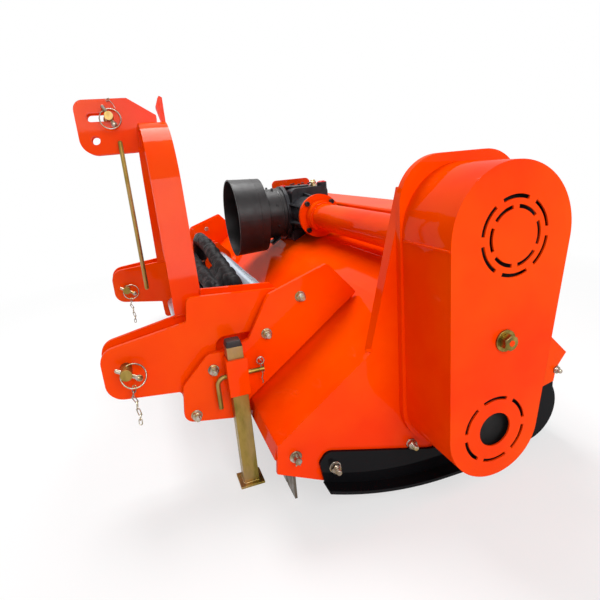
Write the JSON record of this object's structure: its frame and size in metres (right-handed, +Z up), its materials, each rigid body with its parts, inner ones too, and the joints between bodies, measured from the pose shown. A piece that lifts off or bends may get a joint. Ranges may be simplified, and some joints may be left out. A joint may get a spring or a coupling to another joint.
{
  "type": "side-shift tractor mulcher",
  "caption": "Rear-mounted side-shift mulcher: hood over a hammer rotor, belt cover, gearbox and guard, sliding three-point hitch, skids, roller and parking legs.",
  "frame": {"origin": "On the ground, under the middle of the machine's outer box.", "axes": "+X to the tractor driver's left, where the belt cover is; +Y to the rear, away from the tractor; +Z up."},
  "size_m": [2.355, 1.1778, 1.0442],
  "materials": {
    "orange_paint": "glossy orange paint",
    "black_paint": "glossy black paint",
    "black_plastic": "black moulded plastic",
    "gear_iron": "black painted casting",
    "yellow_zinc": "yellow zinc plating",
    "bar_chrome": "hard chromed bar",
    "dark_steel": "dark worn steel",
    "black_sleeve": "woven hose sleeve"
  },
  "bodies": {
    "housing": {"base_plate_left": "orange_paint", "base_plate_right": "orange_paint", "bearing_right": "black_paint", "belt_case_base": "orange_paint", "belt_cover": "orange_paint", "deck": "orange_paint", "drive_tube": "orange_paint", "end_plate_left": "orange_paint", "end_plate_right": "orange_paint", "flap_rod": "dark_steel", "gearbox": "gear_iron", "gearbox_pedestal": "orange_paint", "leg_pin_left": "yellow_zinc", "leg_pin_right": "yellow_zinc", "leg_sleeve_left": "orange_paint", "leg_sleeve_right": "orange_paint", "pto_guard": "black_plastic", "rear_beam": "orange_paint", "roller_arm_left": "black_paint", "roller_arm_right": "black_paint", "shift_rod": "bar_chrome", "side_plate_left": "orange_paint", "side_plate_right": "orange_paint", "skid_left": "black_paint", "skid_right": "black_paint", "slide_bar_lower": "bar_chrome", "slide_bar_upper": "bar_chrome"},
    "hitch": {"cross_tube": "orange_paint", "hitch_arch": "orange_paint", "hook_rod": "yellow_zinc", "hose_bundle": "black_sleeve", "hose_lug": "orange_paint", "link_plates_left": "orange_paint", "link_plates_right": "orange_paint", "lower_link_pin_left": "yellow_zinc", "lower_link_pin_right": "yellow_zinc", "shift_barrel": "black_paint", "slide_bushes": "orange_paint", "top_link_pin": "yellow_zinc", "top_link_plates": "orange_paint"},
    "rotor": {"rotor": "dark_steel"},
    "roller": {"rear_roller": "black_paint"},
    "input_shaft": {"input_shaft": "dark_steel"},
    "leg_left": {"parking_leg_left": "yellow_zinc"},
    "leg_right": {"parking_leg_right": "yellow_zinc"},
    "flaps": {"front_flaps": "dark_steel"}
  },
  "joints": [
    {"name": "side_shift", "type": "slide", "parent": "housing", "child": "hitch", "axis": [-1, 0, 0], "range_m": [0, 0.6]},
    {"name": "rotor_spin", "type": "hinge", "parent": "housing", "child": "rotor", "pos_m": [-0.0725, 0.186, 0.249], "axis": [1, 0, 0], "continuous": true},
    {"name": "roller_spin", "type": "hinge", "parent": "housing", "child": "roller", "pos_m": [-0.0725, 0.485, 0.104], "axis": [1, 0, 0], "continuous": true},
    {"name": "input_spin", "type": "hinge", "parent": "housing", "child": "input_shaft", "pos_m": [-0.0725, 0.027, 0.612], "axis": [0, 1, 0], "continuous": true},
    {"name": "leg_left_slide", "type": "slide", "parent": "housing", "child": "leg_left", "axis": [0, 0, 1], "range_m": [-0.14, 0]},
    {"name": "leg_right_slide", "type": "slide", "parent": "housing", "child": "leg_right", "axis": [0, 0, 1], "range_m": [-0.14, 0]},
    {"name": "flaps_swing", "type": "hinge", "parent": "housing", "child": "flaps", "pos_m": [-0.0725, -0.203, 0.19], "axis": [1, 0, 0], "range_deg": [0, 70]}
  ],
  "couplings": [
    {"joint": "input_spin", "follows": "rotor_spin", "ratio": 0.27}
  ]
}
